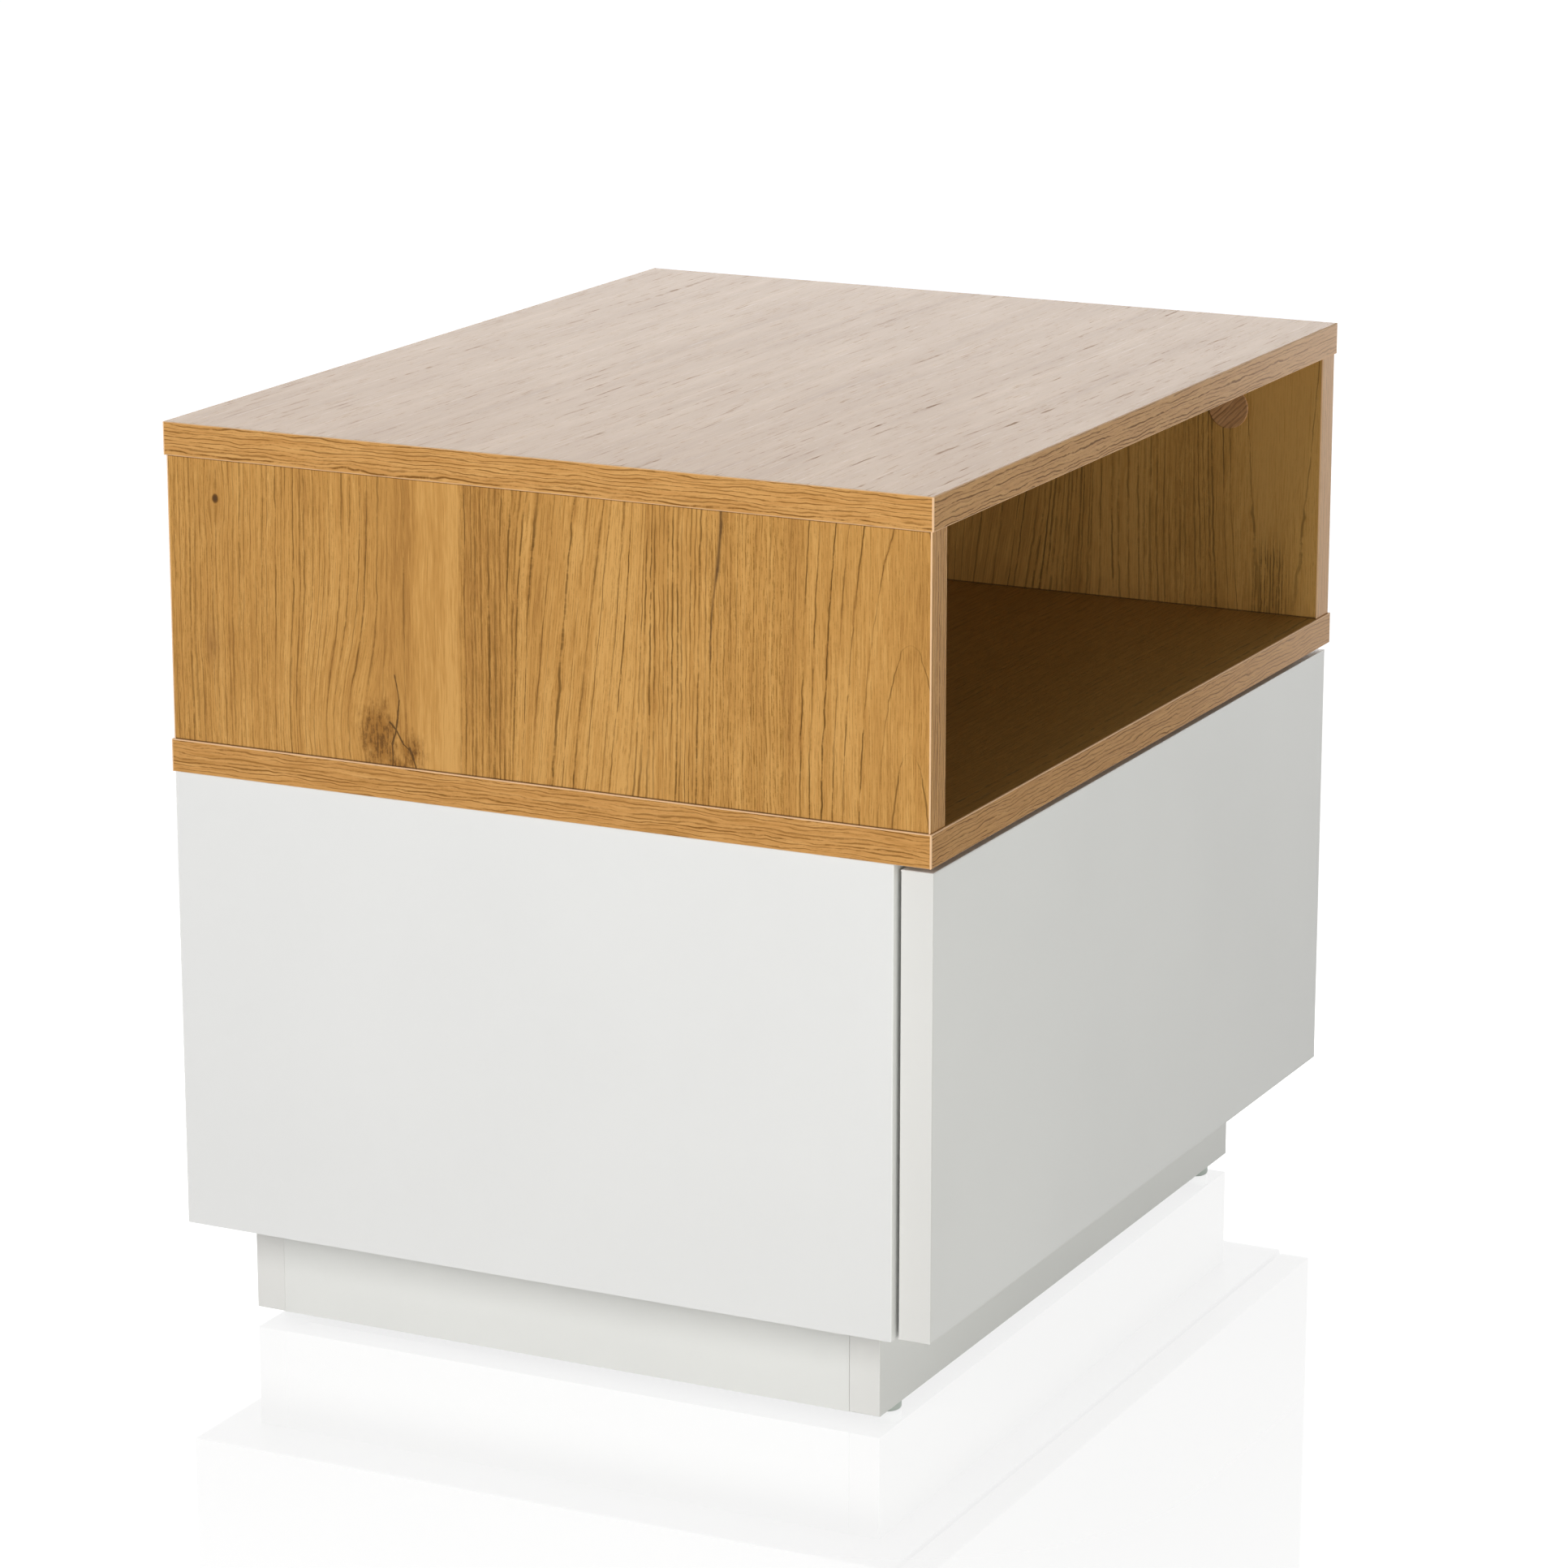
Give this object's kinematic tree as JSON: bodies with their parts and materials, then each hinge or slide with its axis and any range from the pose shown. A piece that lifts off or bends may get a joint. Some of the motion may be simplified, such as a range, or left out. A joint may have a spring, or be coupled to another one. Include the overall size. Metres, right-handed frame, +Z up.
{
  "type": "side table with open compartment and door cabinet",
  "caption": "Low box side table: oak-look top, open compartment with a shelf, white door cabinet below, set-back white plinth on small glides.",
  "frame": {"origin": "on the floor, under the middle of the table's outer box", "axes": "+X to the right as seen from the front, +Y from the front to the back (the door faces -Y), +Z up"},
  "size_m": [0.5, 0.4, 0.454],
  "materials": {
    "oak_board": "matt oak decor foil on chipboard, fine pore texture",
    "oak_edge": "oak decor edge band, slightly rounded",
    "white_board": "smooth white coated chipboard, silk matt",
    "white_edge": "white edge band, silk matt",
    "oak_back": "thin fibreboard with oak decor print",
    "white_back": "thin fibreboard, white front",
    "dowel_wood": "bare beech",
    "zinc": "die-cast zinc, matt",
    "steel": "bright zinc-plated steel",
    "oak_cap": "oak decor foil cap",
    "white_cap": "white foil cap",
    "glide_plastic": "grey-green plastic",
    "latch_plastic": "light grey plastic",
    "magnet": "nickel-plated magnet"
  },
  "bodies": {
    "carcass": {"top_board": "oak_board", "top_board_edging": "oak_edge", "upright_left": "oak_board", "upright_left_edging": "oak_edge", "upright_right": "oak_board", "upright_right_edging": "oak_edge", "middle_board": "oak_board", "middle_board_edging": "oak_edge", "side_panel_left": "white_board", "side_panel_left_edging": "white_edge", "side_panel_right": "white_board", "side_panel_right_edging": "white_edge", "base_board": "white_board", "base_board_edging": "white_edge", "plinth_front": "white_board", "plinth_front_edging": "white_edge", "plinth_back": "white_board", "plinth_back_edging": "white_edge", "plinth_left": "white_board", "plinth_right": "white_board", "compartment_back": "oak_back", "cabinet_back": "white_back", "cam_locks": "zinc", "cam_bolts": "steel", "dowels": "dowel_wood", "oak_cover_caps": "oak_cap", "white_cover_caps": "white_cap", "long_screws": "steel", "plinth_brackets": "steel", "bracket_screws": "steel", "glides": "glide_plastic", "glide_nails": "steel", "hinge_arms": "steel", "hinge_arm_screws": "steel", "latch_housing": "latch_plastic", "latch_screws": "steel", "latch_spring": "steel"},
    "door_leaf": {"door": "white_board", "door_edging": "white_edge", "hinge_cups": "steel", "hinge_pins": "steel", "hinge_cup_screws": "steel", "strike_plate": "steel"},
    "latch_button": {"latch_plunger": "latch_plastic", "latch_magnet": "magnet"}
  },
  "joints": [
    {"name": "door_hinge", "type": "hinge", "parent": "carcass", "child": "door_leaf", "pos_m": [0.2435, -0.1844, 0.16875], "axis": [0, 0, 1], "range_deg": [0, 95]},
    {"name": "plunger_slide", "type": "slide", "parent": "carcass", "child": "latch_button", "axis": [0, 1, 0], "range_m": [0, 0.003], "stiffness_N_per_m": 400, "deforming": ["latch_spring"]}
  ]
}
